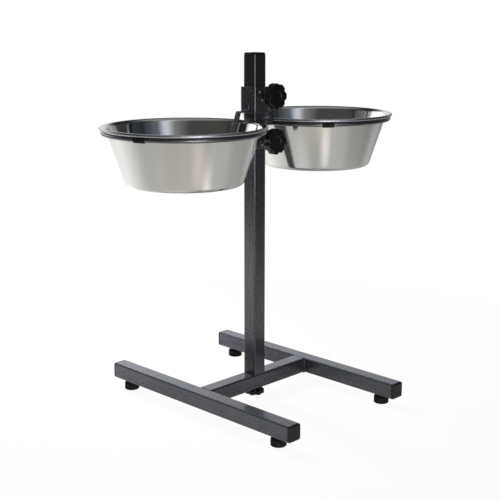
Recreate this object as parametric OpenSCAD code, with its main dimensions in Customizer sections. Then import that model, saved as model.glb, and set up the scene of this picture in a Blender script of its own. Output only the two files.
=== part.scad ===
// Raised dog feeder: an H-shaped base of square steel tube, a square post screwed to it
// from beneath, a carrier with two wire hoops that slides on the post, two steel bowls that
// hang in the hoops, and a sliding lock whose fingers reach over the bowl rims.
// The origin lies on the floor under the post. X runs along the line of bowls, Y along the
// base bars with the clamp knobs at -Y, and Z is up. All sizes are in millimetres.

/* [Base frame] */
// Side of the square steel tube
tube_side = 25; // [22:1:30]
// Wall of the square steel tube
tube_wall = 1.5; // [1:0.1:2]
// Outer corner radius of the square steel tube
tube_corner = 2.5; // [1.5:0.1:3.5]
// Length of a base bar's tube, without its end caps
bar_tube = 397; // [300:1:500]
// Distance between the two base bars, centre to centre
bar_spacing = 245; // [180:1:320]
// Length of the post's tube
post_length = 516; // [460:1:700]

/* [End caps] */
// Thickness of a cap's flange outside the tube
cap_flange = 4; // [3:0.5:6]
// Depth of a cap's plug inside the tube
cap_plug = 14; // [8:1:20]
// Wall of a cap's hollow plug
cap_wall = 2; // [1.5:0.1:3]
// Bevel round a cap's outer edge
cap_bevel = 1; // [0.4:0.1:1.5]

/* [Feet] */
// Height of a foot, from the floor to the tube
foot_height = 15; // [13:0.5:25]
// Diameter of a foot
foot_d = 24; // [18:1:30]
// Diameter of the neck under the tube
foot_neck_d = 19; // [16:0.5:24]
// Height of the neck under the tube
foot_neck = 3.5; // [2:0.5:5]
// Rounding of a foot's two outer edges
foot_round = 1.5; // [0.5:0.1:2.5]
// Distance from the end of a base bar's tube to a foot's centre
foot_inset = 29; // [22:1:60]
// Shank diameter of a foot's screw
screw_d = 5; // [4:0.1:6]
// Head diameter of a foot's screw
screw_head_d = 9; // [7.5:0.1:11]
// Head height of a foot's screw
screw_head = 3; // [2:0.1:4]
// Depth of the screw head's recess in a foot
screw_recess = 6; // [4.5:0.1:8]
// Length of a foot's screw inside the tube
screw_reach = 7; // [4:0.5:12]

/* [Sleeves] */
// Clearance between the post and a sleeve, on each side
sleeve_gap = 0.5; // [0.3:0.1:0.8]
// Wall of a sleeve
sleeve_wall = 3; // [2:0.1:4]
// Height of a sleeve
sleeve_height = 40; // [36:1:60]
// Outer corner radius of a sleeve
sleeve_corner = 3; // [2:0.1:4]
// Distance between the carrier's top and the lock's lower end
lock_gap = 15; // [12:0.5:30]

/* [Bowls] */
// Height of the bowl rims above the floor
rim_height = 458; // [400:1:465]
// Outer diameter of a bowl's rim
rim_d = 248; // [200:1:290]
// Diameter of the rim's rolled bead
bead_d = 4.6; // [4:0.1:7]
// Thickness of a bowl's sheet
sheet = 0.8; // [0.5:0.1:1.1]
// Depth of a bowl, from its rim to its underside
bowl_depth = 87; // [60:1:110]
// Slope of a bowl's wall from the vertical, in degrees
bowl_taper = 18.7; // [12:0.1:22]
// Outer radius where a bowl's wall meets its floor
bowl_corner = 9; // [5:0.5:16]
// Radius under the lip, where the wall turns out to the rim
lip_radius = 3; // [1.5:0.1:3.5]

/* [Hoops] */
// Diameter of the hoop wire
wire_d = 6.5; // [5:0.1:8]
// Distance of the wire's centre inside the bead's centre
wire_inset = 3.2; // [1:0.1:4]
// Distance from the sleeve to the wire, which the weld lug fills
lug_length = 10.2; // [7:0.1:20]
// Width of a weld lug
lug_width = 22; // [14:1:26]
// Thickness of a weld lug
lug_thick = 5; // [3:0.1:5]
// Outer diameter of a buffer clip on the wire
clip_d = 9; // [8.5:0.1:12]
// Length of a buffer clip along the wire
clip_length = 18; // [12:1:26]
// Mouth of a buffer clip, which faces the bowl
clip_mouth = 4; // [2.5:0.1:4.5]
// Turn of the left hoop's first clip from the hoop's outer end, in degrees
left_clip_turn = 17; // [0:0.5:30]
// Turn of the right hoop's first clip from the hoop's outer end, in degrees
right_clip_turn = 10.5; // [0:0.5:30]
// Number of clips on a hoop
clip_count = 3; // [3:1:4]
// Gap between a bowl's bead and the clips under it
seat_gap = 0.3; // [0.2:0.05:0.5]
// Gap between a bowl's wall and the clips beside it
wall_gap = 0.5; // [0.3:0.1:3]

/* [Lock fingers] */
// Width of a lock finger
finger_width = 10; // [6:0.5:12]
// Thickness of a lock finger
finger_thick = 2.5; // [2:0.1:3]
// Inner bend radius of a lock finger
finger_bend = 2; // [1.5:0.1:3]
// Height of the finger's leg that is welded to the sleeve
finger_leg = 9; // [8:1:18]
// Height of the finger's run above the lock's lower end
finger_rise = 1.5; // [1:0.1:4]
// Reach of a finger into its bowl, below the rim
finger_reach = 26; // [15:1:40]
// Gap between a finger and the inside of the bowl's wall
finger_gap = 6; // [4:0.5:10]

/* [Clamp screws] */
// Thread diameter of the three screws
stud_d = 8; // [6:0.1:9]
// Running clearance of a screw in its thread, on the radius
thread_gap = 0.05; // [0.03:0.01:0.1]
// Clearance of a screw in a plain hole, on the radius
hole_gap = 0.5; // [0.3:0.1:0.8]
// Gap between a clamp screw's end and the post
tip_gap = 0.3; // [0.2:0.05:0.5]
// Bevel on a screw's end
tip_bevel = 1; // [0.5:0.1:1.5]
// Width across the flats of a weld nut
nut_flats = 13; // [13:0.5:17]
// Height of a weld nut
nut_height = 6.5; // [5:0.5:8]
// Distance from a sleeve's free end to its clamp screw
knob_end = 13; // [11:0.5:15]
// Length of clamp screw that shows between nut and knob
stud_shows = 3; // [2:0.5:15]

/* [Star knobs] */
// Number of lobes on a knob
lobe_count = 7; // [5:1:9]
// Diameter of a clamp knob over its lobes
knob_d = 40; // [32:1:44]
// Thickness of a clamp knob's head
knob_thick = 13; // [9:0.5:15]
// Diameter of a clamp knob's hub
hub_d = 16; // [14:0.5:19]
// Length of a clamp knob's hub
hub_length = 12; // [8:0.5:15]
// Diameter of the post's fixing knob over its lobes
fixing_d = 32; // [28:1:38]
// Thickness of the post's fixing knob
fixing_thick = 8; // [7.5:0.5:9.5]
// Gap between the fixing knob's hub and the crossbar
fixing_gap = 0.3; // [0.2:0.05:0.5]
// Length of the fixing knob's hub
fixing_hub = 2.5; // [1.5:0.1:3]
// Radius of the hollows between the lobes
hollow_radius = 4.5; // [3.5:0.1:5.5]
// Depth of the hollows between the lobes
hollow_depth = 2.5; // [2:0.1:4]
// Rounding of a knob's outer edges
knob_round = 2; // [1:0.1:2.5]
// Diameter of the dish in a knob's face
dish_d = 15; // [10:0.5:18]
// Depth of the dish in a knob's face
dish_depth = 0.8; // [0.4:0.1:1.5]
// Depth of a screw's end inside its knob
stud_in_knob = 15; // [12:0.5:18]

/* [Post plug] */
// Height of the threaded plug in the post's lower end
plug_height = 22; // [18:1:30]
// Clearance of plugs inside the tube, on each side
plug_gap = 0.05; // [0.03:0.01:0.1]
// Reach of the fixing screw into the plug
plug_reach = 16; // [10:0.5:17]

/* [Hidden] */
$fn = 96;
// Overlap that keeps cuts and unions clean
skin = 0.2;
// Overlap of a strip's straight stretches with its bends
lap = 0.05;

// Base frame
tube_bore = tube_side - 2 * tube_wall;
bore_corner = max(tube_corner - tube_wall, 0.5);
bar_x = bar_spacing / 2;
bar_z = foot_height + tube_side / 2;
base_top = foot_height + tube_side;
foot_y = bar_tube / 2 - foot_inset;
cross_length = bar_spacing - tube_side;
post_face = tube_side / 2;

// Bowls, hoops and sleeves, from the rim downward
bead_r = rim_d / 2 - bead_d / 2;
bead_z = rim_height - bead_d / 2;
hoop_r = bead_r - wire_inset;
hoop_z = bead_z - sqrt(pow((clip_d + bead_d) / 2 + seat_gap, 2) - pow(wire_inset, 2));
sleeve_bore = tube_side + 2 * sleeve_gap;
sleeve_side = sleeve_bore + 2 * sleeve_wall;
sleeve_face = sleeve_side / 2;
bowl_x = sleeve_face + lug_length + wire_d / 2 + hoop_r;
carrier_z = hoop_z + wire_d / 2 - sleeve_height;
lock_z = carrier_z + sleeve_height + lock_gap;
carrier_knob_z = carrier_z + knob_end;
lock_knob_z = lock_z + sleeve_height - knob_end;

// Bowl profile: the outer wall's radius at a height, and the inner one's
floor_z = rim_height - bowl_depth;
function wall_out(z) = hoop_r - clip_d / 2 - wall_gap + (z - hoop_z) * tan(bowl_taper);
function wall_in(z) = wall_out(z) - sheet / cos(bowl_taper);

// Clamp screws along -Y, from the post outward
nut_y = sleeve_face + nut_height;
hub_y = nut_y + stud_shows;
head_y = hub_y + hub_length;
knob_y = head_y + knob_thick;

// Plain helpers

module rounded_square(side, r) {
    square([side, side - 2 * r], center = true);
    square([side - 2 * r, side], center = true);
    for (sx = [-1, 1], sy = [-1, 1])
        translate([sx * (side / 2 - r), sy * (side / 2 - r)])
            circle(r = r);
}

// A square tube that stands on the origin along +Z
module square_tube(side, bore, r_out, r_in, length) {
    linear_extrude(length)
        difference() {
            rounded_square(side, r_out);
            rounded_square(bore, r_in);
        }
}

// A flat sector from the origin, for cutting arcs
module sector(radius, from, to) {
    steps = ceil((to - from) / 60);
    polygon(concat(
        [[0, 0]],
        [for (i = [0 : steps]) 2 * radius * [
            cos(from + (to - from) * i / steps),
            sin(from + (to - from) * i / steps)
        ]]
    ));
}

// A bent strip of sheet seen from its edge
module bend(inner, thick, from, to) {
    intersection() {
        difference() {
            circle(r = inner + thick);
            circle(r = inner);
        }
        sector(inner + thick, from, to);
    }
}

// Moves to the base bars: side is -1 for the left bar and 1 for the right one
module at_bar(side) {
    translate([side * bar_x, 0, bar_z])
        children();
}

// Moves a piece that is drawn along +Z so that it points along -Y at a clamp's height
module at_clamp(z) {
    translate([0, 0, z])
        rotate([90, 0, 0])
            children();
}

// Base frame

module base_bar(side) {
    difference() {
        at_bar(side)
            rotate([90, 0, 0])
                translate([0, 0, -bar_tube / 2])
                    square_tube(tube_side, tube_bore, tube_corner, bore_corner, bar_tube);
        for (end = [-1, 1])
            translate([side * bar_x, end * foot_y, foot_height - skin])
                cylinder(d = screw_d + 2 * thread_gap, h = tube_wall + 2 * skin);
    }
}

module left_base_bar() {
    color([0.27, 0.28, 0.30])
        base_bar(-1);
}

module right_base_bar() {
    color([0.27, 0.28, 0.30])
        base_bar(1);
}

module cross_bar() {
    color([0.27, 0.28, 0.30])
        difference() {
            translate([-cross_length / 2, 0, bar_z])
                rotate([90, 0, 90])
                    square_tube(tube_side, tube_bore, tube_corner, bore_corner, cross_length);
            translate([0, 0, foot_height - skin])
                cylinder(d = stud_d + 2 * hole_gap, h = tube_side + 2 * skin);
        }
}

module post() {
    color([0.27, 0.28, 0.30])
        translate([0, 0, base_top])
            square_tube(tube_side, tube_bore, tube_corner, bore_corner, post_length);
}

module post_plug() {
    color([0.62, 0.62, 0.60])
        translate([0, 0, base_top])
            difference() {
                linear_extrude(plug_height)
                    rounded_square(tube_bore - 2 * plug_gap, bore_corner);
                translate([0, 0, -skin])
                    cylinder(d = stud_d + 2 * thread_gap, h = plug_height + 2 * skin);
            }
}

// A push-in cap for the tube: its flange starts at the origin and looks along +Z
module insert_cap() {
    plug_side = tube_bore - 2 * plug_gap;
    difference() {
        union() {
            difference() {
                linear_extrude(cap_flange)
                    rounded_square(tube_side, tube_corner);
                for (turn = [0 : 90 : 270])
                    rotate([0, 0, turn])
                        translate([tube_side / 2, 0, cap_flange - cap_bevel])
                            rotate([0, -45, 0])
                                translate([0, -tube_side, 0])
                                    cube([2 * cap_flange, 2 * tube_side, 2 * cap_flange]);
            }
            translate([0, 0, -cap_plug])
                linear_extrude(cap_plug + skin)
                    rounded_square(plug_side, bore_corner);
        }
        translate([0, 0, -cap_plug - skin])
            linear_extrude(cap_plug + skin)
                rounded_square(plug_side - 2 * cap_wall, bore_corner);
    }
}

module bar_cap(side, end) {
    color([0.10, 0.10, 0.11])
        at_bar(side)
            translate([0, end * bar_tube / 2, 0])
                rotate([-90 * end, 0, 0])
                    insert_cap();
}

module left_front_cap() {
    bar_cap(-1, -1);
}

module left_rear_cap() {
    bar_cap(-1, 1);
}

module right_front_cap() {
    bar_cap(1, -1);
}

module right_rear_cap() {
    bar_cap(1, 1);
}

module post_cap() {
    color([0.10, 0.10, 0.11])
        translate([0, 0, base_top + post_length])
            insert_cap();
}

// Feet

// Outline of a foot's body: a disc with rounded edges under a narrower neck
module foot_outline() {
    disc = foot_height - foot_neck;
    difference() {
        union() {
            translate([0, foot_round])
                square([foot_d / 2, disc - 2 * foot_round]);
            square([foot_d / 2 - foot_round, disc]);
            for (z = [foot_round, disc - foot_round])
                translate([foot_d / 2 - foot_round, z])
                    circle(r = foot_round);
            square([foot_neck_d / 2, foot_height]);
        }
        translate([0, -skin])
            square([screw_d / 2 + thread_gap, foot_height + 2 * skin]);
        translate([0, -skin])
            square([screw_head_d / 2 + hole_gap, screw_recess + skin]);
    }
}

module foot(side, end) {
    color([0.06, 0.06, 0.065])
        translate([side * bar_x, end * foot_y, 0])
            rotate_extrude()
                foot_outline();
}

module left_front_foot() {
    foot(-1, -1);
}

module left_rear_foot() {
    foot(-1, 1);
}

module right_front_foot() {
    foot(1, -1);
}

module right_rear_foot() {
    foot(1, 1);
}

module foot_screws() {
    shank = foot_height - screw_recess + tube_wall + screw_reach;
    color([0.70, 0.71, 0.73])
        for (side = [-1, 1], end = [-1, 1])
            translate([side * bar_x, end * foot_y, screw_recess])
                difference() {
                    union() {
                        translate([0, 0, -screw_head])
                            cylinder(d = screw_head_d, h = screw_head);
                        cylinder(d = screw_d, h = shank - tip_bevel);
                        translate([0, 0, shank - tip_bevel])
                            cylinder(d1 = screw_d, d2 = screw_d - 2 * tip_bevel, h = tip_bevel);
                    }
                    for (turn = [0, 90])
                        rotate([0, 0, turn])
                            translate([0, 0, -screw_head])
                                cube([screw_head_d * 0.55, screw_head_d * 0.14, screw_head], center = true);
                }
}

// Star knobs and screws

// Outline of a knob's lobes
module lobes(d) {
    difference() {
        circle(d = d);
        for (i = [0 : lobe_count - 1])
            rotate((i + 0.5) * 360 / lobe_count)
                translate([d / 2 + hollow_radius - hollow_depth, 0])
                    circle(r = hollow_radius);
    }
}

// Side view of a knob's head, with rounded outer edges and a dished face
module head_outline(d, thick) {
    difference() {
        union() {
            square([d / 2 - knob_round, thick]);
            translate([0, knob_round])
                square([d / 2, thick - 2 * knob_round]);
            for (z = [knob_round, thick - knob_round])
                translate([d / 2 - knob_round, z])
                    circle(r = knob_round);
        }
        translate([0, thick - dish_depth])
            square([dish_d / 2, thick]);
    }
}

// A star knob along +Z: its hub starts at the origin and its face looks along +Z
module star_knob(d, thick, hub, hub_len, depth) {
    difference() {
        union() {
            cylinder(d = hub, h = hub_len + skin);
            translate([0, 0, hub_len])
                intersection() {
                    linear_extrude(thick)
                        lobes(d);
                    rotate_extrude()
                        head_outline(d, thick);
                }
        }
        translate([0, 0, -skin])
            cylinder(d = stud_d, h = depth + skin);
    }
}

// A screw along +Z with a bevelled end at the origin
module stud(length) {
    cylinder(d1 = stud_d - 2 * tip_bevel, d2 = stud_d, h = tip_bevel);
    translate([0, 0, tip_bevel])
        cylinder(d = stud_d, h = length - tip_bevel);
}

module clamp_knob(z) {
    color([0.05, 0.05, 0.055])
        at_clamp(z)
            translate([0, 0, hub_y])
                star_knob(knob_d, knob_thick, hub_d, hub_length, stud_in_knob);
}

module clamp_screw(z) {
    tip_y = post_face + tip_gap;
    color([0.14, 0.14, 0.15])
        at_clamp(z)
            translate([0, 0, tip_y])
                stud(hub_y + stud_in_knob - tip_y);
}

module clamp_nut(z) {
    color([0.20, 0.21, 0.23])
        at_clamp(z)
            translate([0, 0, sleeve_face])
                difference() {
                    cylinder(d = nut_flats / cos(30), h = nut_height, $fn = 6);
                    translate([0, 0, -skin])
                        cylinder(d = stud_d + 2 * thread_gap, h = nut_height + 2 * skin);
                }
}

module fixing_knob() {
    color([0.05, 0.05, 0.055])
        translate([0, 0, foot_height - fixing_gap])
            rotate([180, 0, 0])
                star_knob(fixing_d, fixing_thick, hub_d, fixing_hub, stud_in_knob - hub_length + fixing_hub);
}

module fixing_screw() {
    low_z = foot_height - fixing_gap - (stud_in_knob - hub_length + fixing_hub);
    top_z = base_top + plug_reach;
    color([0.72, 0.73, 0.75])
        translate([0, 0, top_z])
            rotate([180, 0, 0])
                stud(top_z - low_z);
}

// Carrier and lock

// A sleeve with its foot at a height and a hole for its clamp screw
module sleeve(z, knob_z) {
    color([0.20, 0.21, 0.23])
        difference() {
            translate([0, 0, z])
                square_tube(
                    sleeve_side, sleeve_bore, sleeve_corner,
                    max(tube_corner - sleeve_gap, 0.5), sleeve_height
                );
            at_clamp(knob_z)
                translate([0, 0, sleeve_face - sleeve_wall - skin])
                    cylinder(d = stud_d + 2 * hole_gap, h = sleeve_wall + 2 * skin);
        }
}

module carrier_sleeve() {
    sleeve(carrier_z, carrier_knob_z);
}

module carrier_nut() {
    clamp_nut(carrier_knob_z);
}

module carrier_knob() {
    clamp_knob(carrier_knob_z);
}

module carrier_screw() {
    clamp_screw(carrier_knob_z);
}

module lock_sleeve() {
    sleeve(lock_z, lock_knob_z);
}

module lock_nut() {
    clamp_nut(lock_knob_z);
}

module lock_knob() {
    clamp_knob(lock_knob_z);
}

module lock_screw() {
    clamp_screw(lock_knob_z);
}

// Hoops

// A hoop's wire, or a wider round of the same path
module hoop_ring(d) {
    translate([bowl_x, 0, hoop_z])
        rotate_extrude()
            translate([hoop_r, 0])
                circle(d = d);
}

module hoop() {
    color([0.14, 0.14, 0.15])
        hoop_ring(wire_d);
}

// The lug reaches from the sleeve to the wire and is hollowed to the wire's round
module hoop_lug() {
    reach = lug_length + wire_d / 2;
    color([0.14, 0.14, 0.15])
        difference() {
            translate([sleeve_face, -lug_width / 2, hoop_z - lug_thick / 2])
                cube([reach, lug_width, lug_thick]);
            hoop_ring(wire_d + 2 * plug_gap);
            translate([bowl_x, 0, hoop_z - lug_thick])
                cylinder(r = hoop_r, h = 2 * lug_thick);
        }
}

// Split buffers that ride on the wire, the first one turned from the hoop's outer end
module hoop_clips(turn) {
    span = clip_length / hoop_r * 180 / PI;
    color([0.05, 0.05, 0.055])
        translate([bowl_x, 0, hoop_z])
            for (i = [0 : clip_count - 1])
                rotate([0, 0, -turn - span / 2 + i * 360 / clip_count])
                    rotate_extrude(angle = span)
                        translate([hoop_r, 0])
                            difference() {
                                circle(d = clip_d);
                                circle(d = wire_d + 2 * plug_gap);
                                translate([-clip_d, -clip_mouth / 2])
                                    square([clip_d, clip_mouth]);
                            }
}

module left_hoop() {
    mirror([1, 0, 0])
        hoop();
}

module right_hoop() {
    hoop();
}

module left_hoop_lug() {
    mirror([1, 0, 0])
        hoop_lug();
}

module right_hoop_lug() {
    hoop_lug();
}

module left_hoop_clips() {
    mirror([1, 0, 0])
        hoop_clips(left_clip_turn);
}

module right_hoop_clips() {
    hoop_clips(right_clip_turn);
}

// Lock fingers

// Points of an arc about a centre, with both ends
function arc(centre, radius, from, to) = let (steps = ceil(abs(to - from) / 9)) [
    for (i = [0 : steps])
        centre + radius * [cos(from + (to - from) * i / steps), sin(from + (to - from) * i / steps)]
];

// Side view of a finger: a leg on the sleeve, a run outward and an end that follows the
// slope of the bowl's wall down past the rim
module finger_outline() {
    t = finger_thick;
    r = finger_bend;
    run_z = lock_z + finger_rise;
    leg_z = run_z + t + r;
    leg_bend = [sleeve_face + t + r, leg_z];
    // Height and place of the lower bend's inner surface where the straight end starts
    turn_z = run_z - r + r * sin(bowl_taper);
    turn_x = bowl_x - wall_in(turn_z) + finger_gap / cos(bowl_taper) - r * cos(bowl_taper);
    end_bend = [turn_x, run_z - r];
    end_length = (turn_z - (rim_height - finger_reach)) / cos(bowl_taper);
    end_dir = [sin(bowl_taper), -cos(bowl_taper)];
    near_side = arc(end_bend, r, 90, bowl_taper);
    far_side = arc(end_bend, r + t, bowl_taper, 90);
    polygon(concat(
        [[sleeve_face, leg_z + finger_leg]],
        arc(leg_bend, r + t, 180, 270),
        near_side,
        [near_side[len(near_side) - 1] + end_length * end_dir, far_side[0] + end_length * end_dir],
        far_side,
        arc(leg_bend, r, 270, 180),
        [[sleeve_face + t, leg_z + finger_leg]]
    ));
}

module finger() {
    color([0.20, 0.21, 0.23])
        translate([0, finger_width / 2, 0])
            rotate([90, 0, 0])
                linear_extrude(finger_width)
                    finger_outline();
}

module left_lock_finger() {
    mirror([1, 0, 0])
        finger();
}

module right_lock_finger() {
    finger();
}

// Bowls

// Section of a bowl's sheet from its axis outward: floor, corner, wall, lip and rolled bead
module bowl_section() {
    // Centre of the corner between floor and wall
    corner_z = floor_z + bowl_corner;
    corner_x = wall_out(corner_z) - bowl_corner / cos(bowl_taper);
    // Centre of the lip's bend, which lies outside the wall
    lip_z = rim_height - sheet - lip_radius;
    lip_x = wall_out(lip_z) + lip_radius / cos(bowl_taper);
    wall_dir = [sin(bowl_taper), cos(bowl_taper)];
    out_dir = [cos(bowl_taper), -sin(bowl_taper)];
    low = [corner_x, corner_z] + bowl_corner * out_dir - lap * wall_dir;
    high = [lip_x, lip_z] - lip_radius * out_dir + lap * wall_dir;
    translate([0, floor_z])
        square([corner_x + lap, sheet]);
    translate([corner_x, corner_z])
        bend(bowl_corner - sheet, sheet, -90, -bowl_taper);
    polygon([low, high, high - sheet * out_dir, low - sheet * out_dir]);
    translate([lip_x, lip_z])
        bend(lip_radius, sheet, 90, 180 - bowl_taper);
    translate([lip_x - lap, rim_height - sheet])
        square([bead_r - lip_x + 2 * lap, sheet]);
    translate([bead_r, bead_z])
        bend(bead_d / 2 - sheet, sheet, -190, 90);
}

module bowl() {
    color([0.78, 0.78, 0.77])
        translate([bowl_x, 0, 0])
            rotate_extrude()
                bowl_section();
}

module left_bowl() {
    mirror([1, 0, 0])
        bowl();
}

module right_bowl() {
    bowl();
}

left_base_bar();
right_base_bar();
cross_bar();
post();
post_plug();
post_cap();
left_front_cap();
left_rear_cap();
right_front_cap();
right_rear_cap();
left_front_foot();
left_rear_foot();
right_front_foot();
right_rear_foot();
foot_screws();
fixing_knob();
fixing_screw();
carrier_sleeve();
carrier_nut();
left_hoop();
right_hoop();
left_hoop_lug();
right_hoop_lug();
left_hoop_clips();
right_hoop_clips();
carrier_knob();
carrier_screw();
lock_sleeve();
lock_nut();
left_lock_finger();
right_lock_finger();
lock_knob();
lock_screw();
left_bowl();
right_bowl();
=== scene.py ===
"""Raised dog feeder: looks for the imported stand.

An H-shaped base of square tube, a square post, a carrier with two wire hoops, two steel bowls
and a bowl lock. Sizes of pieces are in millimetres in the stand's own frame, and fit_piece()
turns them into metres. The studio and the camera at the end are in metres.
"""

from math import asin, atan2, cos, degrees, exp, hypot, log, pi, radians, sin, sqrt, tan

import bmesh
import bpy
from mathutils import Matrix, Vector


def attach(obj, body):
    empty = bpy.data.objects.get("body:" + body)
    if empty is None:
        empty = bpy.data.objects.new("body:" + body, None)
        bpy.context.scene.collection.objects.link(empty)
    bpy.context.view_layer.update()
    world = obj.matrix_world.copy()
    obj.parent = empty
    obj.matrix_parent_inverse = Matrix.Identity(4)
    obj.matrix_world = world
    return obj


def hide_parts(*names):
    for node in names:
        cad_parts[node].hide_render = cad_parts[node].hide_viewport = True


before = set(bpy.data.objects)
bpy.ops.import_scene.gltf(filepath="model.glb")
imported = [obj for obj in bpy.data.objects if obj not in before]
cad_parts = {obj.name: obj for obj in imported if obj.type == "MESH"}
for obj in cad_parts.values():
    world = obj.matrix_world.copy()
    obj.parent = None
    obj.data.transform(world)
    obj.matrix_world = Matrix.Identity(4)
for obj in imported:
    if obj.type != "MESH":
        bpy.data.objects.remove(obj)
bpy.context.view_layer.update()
scene = bpy.context.scene

SIDES = (("left", -1), ("right", 1))
ENDS = (("front", -1), ("rear", 1))

# Base and post
TUBE = 25.0
BAR_TUBE = 397.0
BAR_SPACING = 245.0
POST_LENGTH = 516.0
CAP_PLUG = 14.0
FOOT_D = 24.0
FOOT_NECK_D = 19.0
FOOT_NECK = 3.5
FOOT_TALL = 15.0
FOOT_INSET = 29.0
BAR_X = BAR_SPACING / 2
BAR_Z = FOOT_TALL + TUBE / 2
BAR_END = BAR_TUBE / 2
FOOT_Y = BAR_END - FOOT_INSET
CROSS_END = BAR_X - TUBE / 2
BASE_TOP = FOOT_TALL + TUBE
POST_TOP = BASE_TOP + POST_LENGTH

# Bowls; their walls lean out by SLOPE degrees
RIM_D = 248.0
RIM_Z = 458.0
BEAD_D = 4.6
SHEET = 0.8
BOWL_DEPTH = 87.0
BOWL_CORNER = 9.0
BOWL_LIP = 7.0
SLOPE = 18.7
TAPER = radians(SLOPE)
BEAD_R = (RIM_D - BEAD_D) / 2
BEAD_Z = RIM_Z - BEAD_D / 2
FLOOR_Z = RIM_Z - BOWL_DEPTH

# Hoops, their lugs and clips; the bowl's bead rests on the clips
WIRE_D = 6.5
WIRE_INSET = 3.2
LUG_LONG = 10.2
LUG_WIDE = 22.0
LUG_THICK = 5.0
CLIP_D = 9.0
CLIP_LONG = 18.0
CLIP_MOUTH = 4.0
CLIP_COUNT = 3
CLIP_TURNS = (17.0, 10.5)
SEAT_GAP = 0.3
WALL_GAP = 0.5
HOOP_R = BEAD_R - WIRE_INSET
HOOP_Z = BEAD_Z - sqrt(((CLIP_D + BEAD_D) / 2 + SEAT_GAP) ** 2 - WIRE_INSET ** 2)

# Sleeves and lock fingers
SLEEVE_GAP = 0.5
SLEEVE_WALL = 3.0
SLEEVE_TALL = 40.0
SLEEVE_ROUND = 3.0
LOCK_GAP = 15.0
FINGER_WIDE = 10.0
FINGER_THICK = 2.5
FINGER_BEND = 2.0
FINGER_LEG = 9.0
FINGER_RISE = 1.5
FINGER_REACH = 26.0
FINGER_GAP = 6.0
SLEEVE_BORE = TUBE + 2 * SLEEVE_GAP
SLEEVE = SLEEVE_BORE + 2 * SLEEVE_WALL
BOWL_X = SLEEVE / 2 + LUG_LONG + WIRE_D / 2 + HOOP_R
CARRIER_Z = HOOP_Z + WIRE_D / 2 - SLEEVE_TALL
LOCK_Z = CARRIER_Z + SLEEVE_TALL + LOCK_GAP
FINGER_RUN_Z = LOCK_Z + FINGER_RISE
FINGER_LEG_Z = FINGER_RUN_Z + FINGER_THICK + FINGER_BEND

# Clamp screws along -Y, from the post outward, and the fixing under the crossbar
STUD_D = 8.0
STUD_SHOWS = 3.0
STUD_IN_KNOB = 15.0
TIP_GAP = 0.3
THREAD_GAP = 0.05
THREAD_PITCH = 1.25
NUT_FLATS = 13.0
NUT_TALL = 6.5
LOBES = 7
HOLLOW_R = 4.5
HOLLOW_DEEP = 2.5
HUB_D = 16.0
DISH_D = 15.0
DISH_DEEP = 0.8
KNOB_D = 40.0
KNOB_THICK = 13.0
KNOB_HUB = 12.0
KNOB_END = 13.0
FIXING_D = 32.0
FIXING_THICK = 8.0
FIXING_HUB = 2.5
FIXING_GAP = 0.3
PLUG_REACH = 16.0
CARRIER_KNOB_Z = CARRIER_Z + KNOB_END
LOCK_KNOB_Z = LOCK_Z + SLEEVE_TALL - KNOB_END
TIP_Y = TUBE / 2 + TIP_GAP
HUB_Y = SLEEVE / 2 + NUT_TALL + STUD_SHOWS
FIXING_Z = FOOT_TALL - FIXING_GAP
FIXING_SCREW_TOP = BASE_TOP + PLUG_REACH
FIXING_SCREW_END = FIXING_Z - (STUD_IN_KNOB - KNOB_HUB + FIXING_HUB)


# Finishes


class Flow:
    """One value in a finish. Arithmetic on it adds Math nodes, and node() adds any other kind."""

    def __init__(self, tree, socket=None):
        self.tree, self.socket = tree, socket

    def node(self, kind, settings=None, sockets=None, out=0):
        """A node of that kind: its settings come first, then the values or links of its sockets."""
        made = self.tree.nodes.new("ShaderNode" + kind)
        for name, value in (settings or {}).items():
            setattr(made, name, value)
        for name, value in (sockets or {}).items():
            if isinstance(value, Flow):
                self.tree.links.new(value.socket, made.inputs[name])
            else:
                made.inputs[name].default_value = value
        return Flow(self.tree, made.outputs[out]) if made.outputs else None

    def twin(self, out):
        """Another output of the same node."""
        return Flow(self.tree, self.socket.node.outputs[out])

    def math(self, operation, first, second=0.0):
        return self.node("Math", {"operation": operation}, {0: first, 1: second})

    def __add__(self, other):
        return self.math("ADD", self, other)

    def __radd__(self, other):
        return self.math("ADD", other, self)

    def __sub__(self, other):
        return self.math("SUBTRACT", self, other)

    def __rsub__(self, other):
        return self.math("SUBTRACT", other, self)

    def __mul__(self, other):
        return self.math("MULTIPLY", self, other)

    def __rmul__(self, other):
        return self.math("MULTIPLY", other, self)

    def __truediv__(self, other):
        return self.math("DIVIDE", self, other)

    def __rtruediv__(self, other):
        return self.math("DIVIDE", other, self)

    def vector(self, operation, second, third=(0, 0, 0), out="Vector"):
        """This vector put through Vector Math with one or two others."""
        return self.node("VectorMath", {"operation": operation}, {0: self, 1: second, 2: third}, out)

    def rise(self, low, high):
        """0 below low and 1 above high, with a soft step between."""
        return self.node("MapRange", {"interpolation_type": "SMOOTHSTEP"},
                         {"Value": self, "From Min": low, "From Max": high})

    def tint(self, at_zero, at_one):
        """A colour that goes from at_zero to at_one as this value goes from 0 to 1."""
        return self.node("Mix", {"data_type": "RGBA"}, {0: self, 6: at_zero, 7: at_one}, out=2)

    def dyed(self, colour):
        """This brightness in a colour."""
        return self.node("Mix", {"data_type": "RGBA", "blend_type": "MULTIPLY"},
                         {0: 1.0, 6: self, 7: colour}, out=2)

    def grain(self, size, detail=2.0, rough=0.5):
        """Soft noise over this place, with features of about that size in millimetres."""
        return self.node("TexNoise", None,
                         {"Vector": self, "Scale": 1000 / size, "Detail": detail, "Roughness": rough})


def grey(level, warm=0.0):
    """An opaque grey, a little warm above 0 and a little blue below it."""
    return (level * (1 + warm), level, level * (1 - warm), 1.0)


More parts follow.
